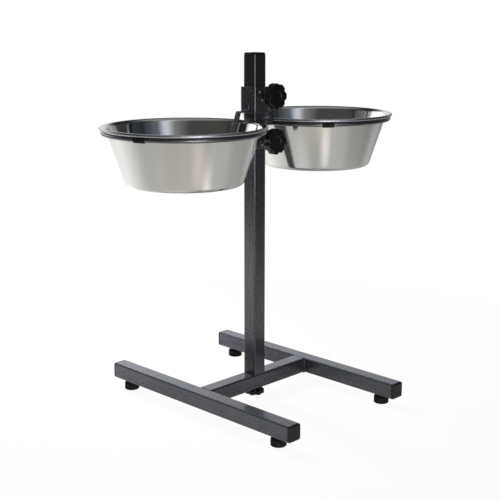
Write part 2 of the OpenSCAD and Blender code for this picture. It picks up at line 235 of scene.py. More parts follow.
def finish(name, metallic=0.0, ior=1.5, coat_rough=None, aniso=None):
    """A new node material, as (material, places on the piece, its shader's sockets)."""
    material = bpy.data.materials.new(name)
    material.use_nodes = True
    tree = material.node_tree
    shader = next(n for n in tree.nodes if n.type == "BSDF_PRINCIPLED").inputs
    shader["Metallic"].default_value = metallic
    shader["IOR"].default_value = ior
    if coat_rough is not None:
        shader["Coat Roughness"].default_value = coat_rough
    if aniso is not None:
        shader["Anisotropic"].default_value, shader["Anisotropic Rotation"].default_value = aniso
    return material, Flow(tree).node("TexCoord", out="Object"), shader


def feed(flow, socket):
    """Links a value to a shader's socket."""
    flow.tree.links.new(flow.socket, socket)


def raise_by(height, shader, depth, strength):
    """Bumps the surface by height, which runs from 0 to 1, times depth in millimetres."""
    bump = height.node("Bump", None, {"Strength": strength, "Distance": depth / 1000, "Height": height})
    feed(bump, shader["Normal"])


def hammered_paint(name, stretch, rough=0.25, speck=0.9, speck_size=0.9,
                   dark=(0.024, 0.0258, 0.034, 1), light=(0.125, 0.134, 0.175, 1)):
    """Anthracite paint on drawn tube: shallow hammer dents, metal fleck and faint lines.
    stretch scales the place, so that the lines run along the axis with the small number."""
    material, place, shader = finish(name, metallic=0.12, coat_rough=0.14)
    sway = 0.0016
    wander = place.node("TexNoise", None, {"Vector": place, "Scale": 300.0, "Detail": 1.0}, out="Color")
    warped = wander.vector("MULTIPLY_ADD", (sway, sway, sway), place)
    dents = place.node("TexVoronoi", {"feature": "SMOOTH_F1"},
                       {"Vector": warped, "Scale": 400.0, "Smoothness": 0.6}).rise(0.12, 0.62)
    lines = place.vector("MULTIPLY", stretch).grain(3.0, 3.0, 0.6)
    fleck, cloud = place.grain(speck_size, 3.0, 0.65), place.grain(60)
    tone = 0.30 + dents * 0.18 + (fleck - 0.5) * speck + (lines - 0.5) + (cloud - 0.5) * 0.25
    feed(tone.tint(dark, light), shader["Base Color"])
    feed(rough + dents * 0.06 + (fleck - 0.5) * 0.16 + (lines - 0.5) * 0.10, shader["Roughness"])
    feed(0.65 + dents * 0.3, shader["Coat Weight"])
    raise_by(dents * 0.8 + fleck * 0.4 + lines * 0.5, shader, 0.09, 0.5)
    return material


def wire_enamel(name, dark, light):
    """Metallic gloss paint with a faint orange peel, from a dark to a light grey."""
    material, place, shader = finish(name, metallic=0.7, coat_rough=0.08)
    peel, dust = place.grain(2.2, 1.0), place.grain(0.7, 3.0)
    feed(dust.tint(grey(dark, -0.05), grey(light, -0.03)), shader["Base Color"])
    feed(0.24 + peel * 0.14, shader["Roughness"])
    feed(0.2 + peel * 0.3, shader["Coat Weight"])
    raise_by(peel, shader, 0.05, 0.5)
    return material


def spun_steel():
    """Stainless sheet spun on a lathe: fine rings round the bowl's axis over a bright polish, which
    is brighter inside the bowl and duller on the rolled rim. The rim's colour is painted: cooler on the
    lip and darker on the bead's outside, a painted shade that tones down the highlight there."""
    material, place, shader = finish("spun_steel", metallic=1.0, aniso=(0.5, 0.25))
    x = place.node("SeparateXYZ", None, {0: place})
    y, z = x.twin(1), x.twin(2)
    out = place.math("SQRT", x * x + y * y)
    turn = place.math("ARCTAN2", y, x)
    outward = place.node("CombineXYZ", None, {0: x, 1: y})
    facing = outward.vector("DOT_PRODUCT", place.twin("Normal"), out="Value") / out
    inside = 1 - facing.rise(-0.6, 0.2)
    rings = place.node("CombineXYZ", None, {0: out, 1: z, 2: turn * 0.004})
    fine, broad, smear = rings.grain(0.35), rings.grain(5.0), place.grain(70)
    rim = out.rise((BEAD_R - 3.2) / 1000, (BEAD_R - 1.2) / 1000)
    roll = out.rise((BEAD_R - 0.2) / 1000, (BEAD_R + 1.5) / 1000)
    tone = 0.5 + (fine - 0.5) * 0.5 + (broad - 0.5) * 0.15 + (smear - 0.5) * 0.4
    sheet = tone.tint((0.575, 0.567, 0.535, 1), (0.665, 0.657, 0.625, 1))
    # Painted shade on the rim: the bead's outside is painted darker than the lip, to tone down its highlight.
    rim_painted_shade = roll.tint((0.60, 0.61, 0.63, 1), (0.47, 0.48, 0.50, 1))
    feed(rim.tint(sheet, rim_painted_shade), shader["Base Color"])
    feed(0.10 - inside * 0.055 + fine * 0.05 + (smear - 0.5) * 0.05 + rim * 0.10 + roll * 0.16,
         shader["Roughness"])
    raise_by(fine, shader, 0.004, 0.3)
    return material


def plated_steel(name, level):
    """Plated or plain steel: a grey of that level with faint crystal patches."""
    material, place, shader = finish(name, metallic=1.0)
    crystal = place.node("TexVoronoi", {"feature": "F1"}, {"Vector": place, "Scale": 900.0}, out="Color")
    patch = crystal.node("SeparateColor", None, {0: crystal})
    dull = place.grain(3, 3.0)
    tone = patch * 0.5 + dull * 0.5
    feed(tone.tint(grey(level * 0.72, 0.02), grey(level, -0.01)), shader["Base Color"])
    feed(0.24 + patch * 0.10 + dull * 0.16, shader["Roughness"])
    raise_by(dull, shader, 0.03, 0.4)
    return material


def moulded_plastic(name, dark, light, rough, grain_size, depth):
    """Moulded plastic or rubber: fine spark-eroded grain, a dry bloom and slight scuffs."""
    material, place, shader = finish(name, ior=1.48)
    spark, bloom = place.grain(grain_size, 3.0, 0.6), place.grain(9, 3.0)
    scuff = place.node("TexNoise", None, {"Vector": place, "Scale": 260.0, "Detail": 6.0, "Roughness": 0.7})
    tone = bloom.rise(0.3, 0.75) * 0.55 + scuff.rise(0.55, 0.75) * 0.45
    feed(tone.tint(dark, light), shader["Base Color"])
    feed(rough + (spark - 0.5) * 0.2 + bloom * 0.1, shader["Roughness"])
    raise_by(spark, shader, depth, 0.6)
    return material


PAINT = hammered_paint("upright_paint", (1.0, 1.0, 0.03))
BAR_PAINT = hammered_paint("bar_paint", (1.0, 0.03, 1.0), speck=0.7)
CROSS_PAINT = hammered_paint("cross_paint", (0.03, 1.0, 1.0), speck=0.7)
# The sleeves and fingers take the post's paint in lighter colours: painted light that makes them come out
# lighter than the post.
LIGHTENED_SLEEVE_PAINT = hammered_paint("sleeve_paint", (1.0, 1.0, 0.2), rough=0.37, speck=2.7, speck_size=4.0,
                              dark=(0.042, 0.042, 0.048, 1), light=(0.258, 0.260, 0.305, 1))
ENAMEL = wire_enamel("wire_enamel", 0.13, 0.20)
WELD = wire_enamel("weld_gloss", 0.35, 0.65)
STEEL = spun_steel()
ZINC = plated_steel("bright_zinc", 0.62)
PLUG_STEEL = plated_steel("plain_steel", 0.5)
DARK_STEEL = plated_steel("blackened_steel", 0.09)
KNOB_PLASTIC = moulded_plastic("knob_plastic", grey(0.003, -0.05), grey(0.009, -0.03),
                               rough=0.30, grain_size=0.5, depth=0.06)
CAP_PLASTIC = moulded_plastic("cap_plastic", grey(0.006, -0.45), grey(0.016, -0.45),
                              rough=0.42, grain_size=0.6, depth=0.05)
FOOT_RUBBER = moulded_plastic("foot_rubber", grey(0.0015), grey(0.005),
                              rough=0.72, grain_size=0.8, depth=0.07)
CLIP_RUBBER = moulded_plastic("clip_rubber", grey(0.003), grey(0.007),
                              rough=0.75, grain_size=0.6, depth=0.05)


# Making pieces


def fit_piece(name, shape, body, material, stands_for=(), origin=(0, 0, 0), sharp=35, even=False):
    """Puts a mesh of (points, faces) on a body. sharp is the angle in degrees from which an edge stays
    crisp, and even shades flat faces as flat beside their eased edges."""
    points, faces = shape
    mesh = bpy.data.meshes.new(name)
    middle = Vector(origin)
    mesh.from_pydata([(Vector(p) - middle) / 1000 for p in points], [], faces)
    work = bmesh.new()
    work.from_mesh(mesh)
    bmesh.ops.recalc_face_normals(work, faces=work.faces)
    work.to_mesh(mesh)
    work.free()
    mesh.shade_smooth()
    mesh.set_sharp_from_angle(angle=radians(sharp))
    mesh.materials.append(material)
    piece = bpy.data.objects.new(name, mesh)
    piece.location = middle / 1000
    scene.collection.objects.link(piece)
    if even:
        piece.modifiers.new("even_faces", "WEIGHTED_NORMAL").keep_sharp = True
    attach(piece, body)
    if stands_for:
        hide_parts(*stands_for)


def loft(rings, closed=False):
    """Quads between rings of points; open rows of rings get an end face at both ends."""
    count, rows = len(rings[0]), len(rings)
    faces = []
    for row in range(rows if closed else rows - 1):
        here, there = row * count, (row + 1) % rows * count
        for k in range(count):
            after = (k + 1) % count
            faces.append((here + k, here + after, there + after, there + k))
    if not closed:
        faces += [tuple(reversed(range(count))), tuple(range((rows - 1) * count, rows * count))]
    return [tuple(p) for ring in rings for p in ring], faces


def joined(*shapes):
    """Several shapes as one."""
    points, faces = [], []
    for more_points, more_faces in shapes:
        faces += [tuple(i + len(points) for i in f) for f in more_faces]
        points += more_points
    return points, faces


def placed(shape, move):
    """The shape with every point moved by a function of x, y, z."""
    return [move(*p) for p in shape[0]], shape[1]


def mirrored(shape, side):
    """A shape drawn on the right, on the side that 1 or -1 stands for."""
    return placed(shape, lambda x, y, z: (side * x, y, z))


def at_clamp(shape, height, out_by):
    """A shape drawn along +Z, turned to point along -Y at a height, out_by from the post's axis."""
    return placed(shape, lambda x, y, z: (x, -z - out_by, y + height))


def hung(shape, top_z):
    """A shape drawn along +Z, turned to hang down from a height on the post's axis."""
    return placed(shape, lambda x, y, z: (x, -y, top_z - z))


def circle(count):
    """Points of a circle of radius 1, evenly spaced."""
    return [(cos(2 * pi * k / count), sin(2 * pi * k / count)) for k in range(count)]


def arc(x, y, radius, start, stop, steps):
    """Points of an arc, angles in degrees, both ends included."""
    angles = [radians(start + (stop - start) * i / steps) for i in range(steps + 1)]
    return [(x + radius * cos(a), y + radius * sin(a)) for a in angles]


def between(first, last, steps):
    """Evenly spaced points on the line between two points, without its ends."""
    (x, y), (to_x, to_y) = first, last
    return [(x + (to_x - x) * i / steps, y + (to_y - y) * i / steps) for i in range(1, steps)]


def eased(radius, steps):
    """A quarter round on an edge, as (inset, lift) from its end face to its side."""
    turns = [radians(90 * i / steps) for i in range(steps + 1)]
    return [(radius * (1 - sin(a)), radius * (1 - cos(a))) for a in turns]


def lathe(profile, count, closed=False):
    """Turns an outline of (radius, height) about the Z axis."""
    return loft([[(r * c, r * s, z) for c, s in circle(count)] for r, z in profile], closed)


def rounded_rect(wide, tall, radius, steps):
    """Outline of a rectangle with round corners, about the origin."""
    outline = []
    for sx, sy, start in ((1, 1, 0), (-1, 1, 90), (-1, -1, 180), (1, -1, 270)):
        x, y = sx * (wide / 2 - radius), sy * (tall / 2 - radius)
        outline += arc(x, y, radius, start, start + 90, steps)
    return outline


def square_ring(side, radius, z):
    """A level square with round corners at a height."""
    return [(x, y, z) for x, y in rounded_rect(side, side, radius, 7)]


def sweep(path, section, closed=False, up=(0, 0, 1), swell=None):
    """Carries a section along a path. The section's second axis leans towards up.
    swell, if given, is how much the section grows at each point of the path."""
    path = [Vector(p) for p in path]
    rings, total = [], len(path)
    for i, here in enumerate(path):
        before = path[i - 1] if closed or i else here
        after = path[(i + 1) % total] if closed or i < total - 1 else here
        along = (after - before).normalized()
        across = along.cross(Vector(up)).normalized()
        rise = across.cross(along)
        grow = swell[i] if swell else 1.0
        rings.append([here + across * (u * grow) + rise * (v * grow) for u, v in section])
    return loft(rings, closed)


def weld(path, radius, up=(0, 0, 1)):
    """A weld bead along a path, with the small ripples that a torch leaves and thinner ends."""
    step, pitch, thin, run_out = 0.45, 2.4, 0.45, 2.2
    points = [Vector(p) for p in path]
    dense, gone, length = [], [], 0.0
    for a, b in zip(points, points[1:]):
        stretch = (b - a).length
        steps = max(2, int(stretch / step))
        dense += [a.lerp(b, i / steps) for i in range(steps)]
        gone += [length + stretch * i / steps for i in range(steps)]
        length += stretch
    dense.append(points[-1])
    gone.append(length)
    swell = []
    for s in gone:
        ripple = 1 + 0.10 * sin(2 * pi * s / pitch) + 0.07 * sin(1.7 * s + 0.6) + 0.04 * sin(4.3 * s)
        swell.append(ripple * min(1.0, thin + s / run_out, thin + (length - s) / run_out))
    return sweep(dense, [(radius * c, radius * s) for c, s in circle(14)], up=up, swell=swell)


# Bowls


def wall_radius(z):
    """Outer radius of a bowl's sloping wall at a height."""
    return HOOP_R - CLIP_D / 2 - WALL_GAP + (z - HOOP_Z) * tan(TAPER)


def bowl_outline():
    """Section of the bowl's sheet, from the axis out under the floor, up the wall, round the rolled
    rim and back down the inside."""
    centre, curl_end = 0.4, -190
    corner_z, lip_z = FLOOR_Z + BOWL_CORNER, RIM_Z - SHEET - BOWL_LIP
    corner_x = wall_radius(corner_z) - BOWL_CORNER / cos(TAPER)
    lip_x = wall_radius(lip_z) + BOWL_LIP / cos(TAPER)
    floor = [centre] + [corner_x * i / 8 for i in range(1, 8)]
    low = arc(corner_x, corner_z, BOWL_CORNER, -90, -SLOPE, 14)
    high = arc(lip_x, lip_z, BOWL_LIP, 180 - SLOPE, 90, 16)
    high_top = arc(lip_x, lip_z, BOWL_LIP + SHEET, 90, 180 - SLOPE, 16)
    low_top = arc(corner_x, corner_z, BOWL_CORNER - SHEET, -SLOPE, -90, 14)
    outline = [(r, FLOOR_Z) for r in floor] + low + between(low[-1], high[0], 12) + high
    outline += arc(BEAD_R, BEAD_Z, BEAD_D / 2 - SHEET, 90, curl_end, 30)
    outline += arc(BEAD_R, BEAD_Z, BEAD_D / 2, curl_end, 90, 40)
    outline += high_top + between(high_top[-1], low_top[0], 12) + low_top
    return outline + [(r, FLOOR_Z + SHEET) for r in reversed(floor)]


for hand, side in SIDES:
    bowl = placed(lathe(bowl_outline(), 288), lambda x, y, z: (x + side * BOWL_X, y, z))
    fit_piece(f"{hand}_bowl_steel", bowl, f"{hand}_bowl", STEEL, [f"{hand}_bowl"],
              origin=(side * BOWL_X, 0, 0), sharp=50)


# Hoops, lugs and clips


def hoop_wire():
    """A round wire bent into a ring."""
    path = [(BOWL_X + HOOP_R * c, HOOP_R * s, HOOP_Z) for c, s in circle(240)]
    return sweep(path, [(WIRE_D / 2 * c, WIRE_D / 2 * s) for c, s in circle(28)], closed=True)


def beside_hoop(outside, y):
    """X, at a given y, of a ring about the bowl that lies outside the wire's middle by a distance."""
    return BOWL_X - sqrt((HOOP_R + outside) ** 2 - y * y)


def hoop_lug():
    """A short flat lug from the sleeve into the wire, with eased edges."""
    ease, sink, bite = 1.2, 0.4, 1.5
    outline = rounded_rect(LUG_WIDE, LUG_THICK, ease, 5)
    start = [(SLEEVE / 2 - sink, y, HOOP_Z + z) for y, z in outline]
    end = [(beside_hoop(bite, y), y, HOOP_Z + z) for y, z in outline]
    return loft([start, end])


def lug_welds():
    """Beads above and below the lug, where it meets the sleeve and the wire."""
    bead, face, half, reach = 1.5, SLEEVE / 2 + 0.4, LUG_WIDE / 2 - 0.5, 2.6
    beads = []
    for lift in (-2.6, 2.6):
        beads.append(weld([(face, -half, HOOP_Z + lift), (face, half, HOOP_Z + lift)], bead))
    for lift in (-2.4, 2.4):
        beads.append(weld([(beside_hoop(reach, y), y, HOOP_Z + lift) for y in range(-11, 12, 2)], bead))
    return joined(*beads)


def clip_section(inset):
    """Outline of a split buffer, drawn in by inset: round its outside, then back along its bore."""
    lip, wire_gap = CLIP_MOUTH / 2 + inset, 0.05
    outer, bore = CLIP_D / 2 - inset, WIRE_D / 2 + wire_gap + inset * 0.6
    outer_end, bore_end = 180 - degrees(asin(lip / outer)), 180 - degrees(asin(lip / bore))
    return arc(0, 0, outer, -outer_end, outer_end, 40) + arc(0, 0, bore, bore_end, -bore_end, 32)


def hoop_clip(middle):
    """A split rubber buffer round the wire, with eased ends; its mouth looks at the bowl."""
    span = CLIP_LONG / HOOP_R
    ends = [(0.0, 0.9), (0.008, 0.45), (0.025, 0.15), (0.06, 0.0)]
    stations = ends + [(i / 12, 0.0) for i in range(1, 12)]
    stations += [(1 - share, inset) for share, inset in reversed(ends)]
    rings = []
    for share, inset in stations:
        turn = middle - span / 2 + span * share
        section = [(HOOP_R + u, HOOP_Z + v) for u, v in clip_section(inset)]
        rings.append([(BOWL_X + r * cos(turn), r * sin(turn), z) for r, z in section])
    return loft(rings)


for (hand, side), first_clip in zip(SIDES, CLIP_TURNS):
    fit_piece(f"{hand}_hoop_wire", mirrored(hoop_wire(), side), "carrier", ENAMEL,
              [f"{hand}_hoop"])
    fit_piece(f"{hand}_lug_plate", mirrored(hoop_lug(), side), "carrier", ENAMEL,
              [f"{hand}_hoop_lug"], even=True)
    fit_piece(f"{hand}_lug_welds", mirrored(lug_welds(), side), "carrier", WELD)
    turns = [radians(360 / CLIP_COUNT * i - first_clip) for i in range(CLIP_COUNT)]
    buffers = joined(*[hoop_clip(turn) for turn in turns])
    fit_piece(f"{hand}_hoop_buffers", mirrored(buffers, side), "carrier", CLIP_RUBBER,
              [f"{hand}_hoop_clips"], sharp=50)


# Sleeves and lock fingers


def sleeve(foot_z):
    """A square sleeve with eased ends, bored for the post, with a small bevel at the bore's mouths."""
    head_z, ease = foot_z + SLEEVE_TALL, eased(0.7, 3)
    bore_round, bevel, bevel_tall = 2.0, 0.3, 0.4
    mouth, mouth_round = SLEEVE_BORE + 2 * bevel, bore_round + bevel
    around = [(SLEEVE - 2 * inset, SLEEVE_ROUND - inset, foot_z + lift) for inset, lift in ease]
    around += [(SLEEVE - 2 * inset, SLEEVE_ROUND - inset, head_z - lift) for inset, lift in reversed(ease)]
    around += [(mouth, mouth_round, head_z), (SLEEVE_BORE, bore_round, head_z - bevel_tall)]
    around += [(SLEEVE_BORE, bore_round, foot_z + bevel_tall), (mouth, mouth_round, foot_z)]
    return loft([square_ring(*ring) for ring in around], closed=True)


def finger_line(tip, turns):
    """Middle line of a lock finger as (x, z): down its leg, outward and down beside the bowl's wall.
    It gets a point at each of the turns round the corners of its tip, whose radius is tip."""
    middle = FINGER_BEND + FINGER_THICK / 2
    turn_z = FINGER_RUN_Z - FINGER_BEND + FINGER_BEND * sin(TAPER)
    wall_in = wall_radius(turn_z) - SHEET / cos(TAPER)
    turn_x = BOWL_X - wall_in + FINGER_GAP / cos(TAPER) - FINGER_BEND * cos(TAPER)
    length = (turn_z - (RIM_Z - FINGER_REACH)) / cos(TAPER)
    line = [(SLEEVE / 2 + FINGER_THICK / 2, FINGER_LEG_Z + FINGER_LEG * (1 - i / 6)) for i in range(6)]
    line += arc(SLEEVE / 2 + FINGER_THICK + FINGER_BEND, FINGER_LEG_Z, middle, 180, 270, 10)
    line += arc(turn_x, FINGER_RUN_Z - FINGER_BEND, middle, 90, SLOPE, 10)
    x, z = line[-1]
    down = [length * i / 10 for i in range(1, 10)]
    down += [length - tip + tip * sin(radians(a)) for a in turns]
    return line + [(x + sin(TAPER) * s, z - cos(TAPER) * s) for s in sorted(down)]


def lock_finger():
    """A bent flat strip: a leg on the sleeve, a run outward and an end that follows the bowl's wall."""
    tip, turns, ease = 1.0, (0, 20, 40, 60, 80), 0.55
    line, gone = finger_line(tip, turns), [0.0]
    for a, b in zip(line, line[1:]):
        gone.append(gone[-1] + hypot(b[0] - a[0], b[1] - a[1]))
    end = gone[-1] + tip * (1 - sin(radians(turns[-1])))
    rings = []
    for i, (x, z) in enumerate(line):
        behind, ahead = line[max(i - 1, 0)], line[min(i + 1, len(line) - 1)]
        tilt = atan2(ahead[1] - behind[1], ahead[0] - behind[0])
        past = max(0.0, tip - (end - gone[i]))
        wide = FINGER_WIDE - 2 * tip + 2 * sqrt(tip ** 2 - past ** 2)
        section = rounded_rect(wide, FINGER_THICK, ease, 3)
        rings.append([(x - sin(tilt) * v, u, z + cos(tilt) * v) for u, v in section])
    return loft(rings)


def finger_welds():
    """A short bead across the top of the leg."""
    face, half, top = SLEEVE / 2 + 0.2, FINGER_WIDE / 2, FINGER_LEG_Z + FINGER_LEG + 0.1
    return weld([(face, -half, top), (face, 0, top + 0.3), (face, half, top)], 0.85, up=(1, 0, 0))


for part, foot_z in (("carrier", CARRIER_Z), ("lock", LOCK_Z)):
    fit_piece(f"{part}_square_sleeve", sleeve(foot_z), part, LIGHTENED_SLEEVE_PAINT,
              [f"{part}_sleeve"], even=True)
for hand, side in SIDES:
    fit_piece(f"{hand}_finger_strip", mirrored(lock_finger(), side), "lock", LIGHTENED_SLEEVE_PAINT,
              [f"{hand}_lock_finger"], even=True)
    fit_piece(f"{hand}_finger_welds", mirrored(finger_welds(), side), "lock", LIGHTENED_SLEEVE_PAINT)


# Star knobs, screws and nuts


def lobe_edge(turn, wide):
    """Radius of a lobed knob at an angle, with the lobes' corners eased."""
    step, crisp = 2 * pi / LOBES, 2.2
    off = (turn % step) - step / 2
    middle = wide / 2 + HOLLOW_R - HOLLOW_DEEP
    reach = HOLLOW_R ** 2 - (middle * sin(off)) ** 2
    dip = middle * cos(off) - sqrt(reach) if reach > 0 else wide
    return -log(exp(-crisp * wide / 2) + exp(-crisp * min(dip, wide))) / crisp


def star_knob(wide, thick, hub_long):
    """A knob along +Z: its hub starts at the origin, and its dished face looks along +Z."""
    turns = [2 * pi * k / (LOBES * 32) for k in range(LOBES * 32)]
    bore, hub, dish, crown = STUD_D / 2, HUB_D / 2, DISH_D / 2, 0.35
    top, dish_floor, ease = hub_long + thick, dish - DISH_DEEP, eased(1.9, 6)

    def round_ring(radius, z):
        return [(radius * cos(t), radius * sin(t), z) for t in turns]

    def lobe_ring(inset, z):
        edges = [(lobe_edge(t, wide) - inset, t) for t in turns]
        return [(r * cos(t), r * sin(t), z) for r, t in edges]

    hub_side = [(bore, 0.6), (bore + 0.4, 0), (hub - 0.8, 0), (hub - 0.2, 0.25), (hub, 0.9)]
    hub_side += [(hub, hub_long - min(1.2, hub_long / 2))]
    hub_side += [(hub + 0.3, hub_long - 0.25), (hub + 1.1, hub_long)]
    face = [(dish + 1.1, top), (dish + 0.2, top), (dish - 0.1, top - 0.12), (dish - 0.35, top - 0.65)]
    for r in (dish_floor, 4.5, 2.2, 0.3):
        face.append((r, top - DISH_DEEP + crown * (1 - (r / dish_floor) ** 2)))
    rings = [round_ring(r, z) for r, z in hub_side]
    rings += [lobe_ring(inset, hub_long + lift) for inset, lift in ease]
    rings += [lobe_ring(inset, top - lift) for inset, lift in reversed(ease)]
    return loft(rings + [round_ring(r, z) for r, z in face])


def thread(length):
    """A screw thread along +Z with a bevelled end at the origin."""
    radius, tip, deep, turns = STUD_D / 2, 1.0, 0.68, circle(40)
    rows = int(length / THREAD_PITCH * 10)
    rings = []
    for row in range(rows + 1):
        z = length * row / rows
        limit = radius - tip + min(z, tip)
        ring = []
        for k, (c, s) in enumerate(turns):
            share = (z / THREAD_PITCH - k / len(turns)) % 1.0
            groove = deep * max(0.0, min(1.0, 1.25 * (1 - abs(2 * share - 1)) - 0.1))
            r = min(radius - groove, limit)
            ring.append((r * c, r * s, z))
        rings.append(ring)
    return loft(rings)


def hex_nut():
    """A hexagon nut along +Z with the turned bevel of a real one on both ends."""
    count, half, bore = 180, NUT_FLATS / 2, STUD_D / 2 + THREAD_GAP
    bevel_in, bevel_slope, mouth = 0.25, 1.73, 0.5

    def hexagon(z):
        points = []
        for k, (c, s) in enumerate(circle(count)):
            flat = half / cos(2 * pi * k / count % (pi / 3) - pi / 6)
            r = min(flat, half - bevel_in + min(z, NUT_TALL - z) * bevel_slope)
            points.append((r * c, r * s, z))
        return points

    def hole(radius, z):
        return [(radius * c, radius * s, z) for c, s in circle(count)]

    levels = [0, 0.12, 0.25, 0.4, 0.55, 0.75]
    rings = [hexagon(z) for z in levels] + [hexagon(NUT_TALL - z) for z in reversed(levels)]
    rings += [hole(bore + mouth, NUT_TALL), hole(bore, NUT_TALL - mouth)]
    rings += [hole(bore, mouth), hole(bore + mouth, 0)]
    return loft(rings, closed=True)


def nut_welds():
    """Three short beads that hold the nut to the sleeve."""
    reach, lift = 7.9, 0.9
    beads = []
    for middle, radius in ((140, 2.0), (260, 1.4), (20, 1.4)):
        turns = [radians(middle + off) for off in range(-18, 19, 6)]
        beads.append(weld([(reach * cos(t), reach * sin(t), lift) for t in turns], radius))
    return joined(*beads)


for part, height in (("carrier", CARRIER_KNOB_Z), ("lock", LOCK_KNOB_Z)):
    knob = at_clamp(star_knob(KNOB_D, KNOB_THICK, KNOB_HUB), height, HUB_Y)
    fit_piece(f"{part}_star_knob", knob, f"{part}_knob", KNOB_PLASTIC,
              [f"{part}_knob"], sharp=50, even=True)
    screw = at_clamp(thread(HUB_Y + STUD_IN_KNOB - TIP_Y), height, TIP_Y)
    fit_piece(f"{part}_clamp_screw", screw, f"{part}_knob", DARK_STEEL,
              [f"{part}_screw"], sharp=60)
    fit_piece(f"{part}_weld_nut", at_clamp(hex_nut(), height, SLEEVE / 2), part, PAINT,
              [f"{part}_nut"], sharp=25)
    fit_piece(f"{part}_nut_weld", at_clamp(nut_welds(), height, SLEEVE / 2), part, WELD)

knob = hung(star_knob(FIXING_D, FIXING_THICK, FIXING_HUB), FIXING_Z)
fit_piece("post_fixing_knob", knob, "fixing_knob", KNOB_PLASTIC,
          ["fixing_knob"], sharp=50, even=True)
screw = hung(thread(FIXING_SCREW_TOP - FIXING_SCREW_END), FIXING_SCREW_TOP)
fit_piece("post_fixing_screw", screw, "fixing_knob", ZINC, ["fixing_screw"], sharp=60)


# Caps, feet and tube welds


def end_cap():
    """A push-in cap along +Z: a plug below the origin and a rounded, faintly domed flange above it."""
    plug, ease, edge_z, dome = 21.9, 2.2, 3.7, 0.3
    flat = TUBE - 2 * ease
    around = [(plug - 4, 0.8, 0.1 - CAP_PLUG), (plug - 0.8, 0.8, -CAP_PLUG)]
    around += [(plug, 1.0, 0.8 - CAP_PLUG), (plug, 1.0, 0.02)]
    around += [(TUBE - 1.0, 2.8, 0.05), (TUBE - 0.3, 3.1, 0.35), (TUBE - 0.05, 3.2, 0.8)]
    for inset, lift in reversed(eased(ease, 6)):
        around.append((TUBE - 2 * inset, 3.3 - inset * 0.4, edge_z - lift))
    for i in range(1, 7):
        side = flat - 2.9 * i
        around.append((side, max(2.42 - 0.35 * i, 0.5), edge_z + dome * (1 - (side / flat) ** 2)))
    around.append((1.6, 0.5, edge_z + dome))
    return loft([square_ring(*ring) for ring in around])


def rubber_foot():
    """A round rubber foot: a disc with soft edges under a narrower neck, recessed for its screw."""
    hole, recess, recess_top, soft = 2.6, 5.0, 6.0, 1.5
    disc, neck, shoulder = FOOT_D / 2, FOOT_NECK_D / 2, FOOT_TALL - FOOT_NECK
    profile = [(hole, recess_top), (recess - 0.1, recess_top), (recess, recess_top - 0.2), (recess, 0.5)]
    profile += [(recess + 0.4, 0.12), (recess + 1.0, 0.0), (disc - 1.8, 0.0)]
    profile += arc(disc - soft, soft, soft, -80, 0, 8)
    profile += [(disc, 4.0), (disc - 0.14, 4.3), (disc - 0.14, 4.7), (disc, 5.0), (disc, shoulder - soft)]
    profile += arc(disc - soft, shoulder - soft, soft, 10, 90, 8)
    profile += [(neck + 0.8, shoulder), (neck + 0.3, shoulder + 0.15), (neck + 0.05, shoulder + 0.5)]
    profile += [(neck, shoulder + 1.0), (neck, FOOT_TALL - 0.4), (neck - 0.3, FOOT_TALL), (hole, FOOT_TALL)]
    return lathe(profile, 128, closed=True)


def cross_bar_weld(side):
    """The fillet under and beside the crossbar's end on a base bar's inner face; the top is ground flush."""
    x, y = side * (CROSS_END - 0.2), TUBE / 2 + 0.1
    low, high = FOOT_TALL - 0.1, BASE_TOP - 2.4
    return weld([(x, -y, high), (x, -y, low), (x, y, low), (x, y, high)], 1.1, up=(1, 0, 0))


for hand, side in SIDES:
    for where, end in ENDS:
        cap = placed(end_cap(), lambda x, y, z: (side * BAR_X + x, end * (BAR_END + z), BAR_Z - end * y))
        fit_piece(f"{hand}_{where}_end_cap", cap, "base", CAP_PLASTIC,
                  [f"{hand}_{where}_cap"], even=True)
        foot = placed(rubber_foot(), lambda x, y, z: (x + side * BAR_X, y + end * FOOT_Y, z))
        fit_piece(f"{hand}_{where}_rubber_foot", foot, "base", FOOT_RUBBER,
                  [f"{hand}_{where}_foot"], sharp=50)
    fit_piece(f"{hand}_cross_bar_weld", cross_bar_weld(side), "base", PAINT)
post_cap = placed(end_cap(), lambda x, y, z: (x, y, z + POST_TOP))
fit_piece("post_end_cap", post_cap, "base", CAP_PLASTIC, ["post_cap"], even=True)

# Tubes, plug and foot screws keep their own shape and take a finish
own_shapes = {"left_base_bar": BAR_PAINT, "right_base_bar": BAR_PAINT, "cross_bar": CROSS_PAINT,
              "post": PAINT, "post_plug": PLUG_STEEL, "foot_screws": ZINC}
for node, material in own_shapes.items():
    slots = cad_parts[node].data.materials
    slots.clear()
    slots.append(material)


# Studio


def flat_panel(name, wide, deep, material):
    """A flat rectangle about its middle that belongs to the studio, not to the stand."""
    x, y = wide / 2, deep / 2
    mesh = bpy.data.meshes.new(name)
    mesh.from_pydata([(-x, -y, 0), (x, -y, 0), (x, y, 0), (-x, y, 0)], [], [(0, 1, 2, 3)])
    mesh.materials.append(material)
    panel = bpy.data.objects.new(name, mesh)
    scene.collection.objects.link(panel)
    return panel


def bare_nodes(owner):
    """The start of a material's or world's nodes, with none in place yet."""
    owner.use_nodes = True
    owner.node_tree.nodes.clear()
    return Flow(owner.node_tree)


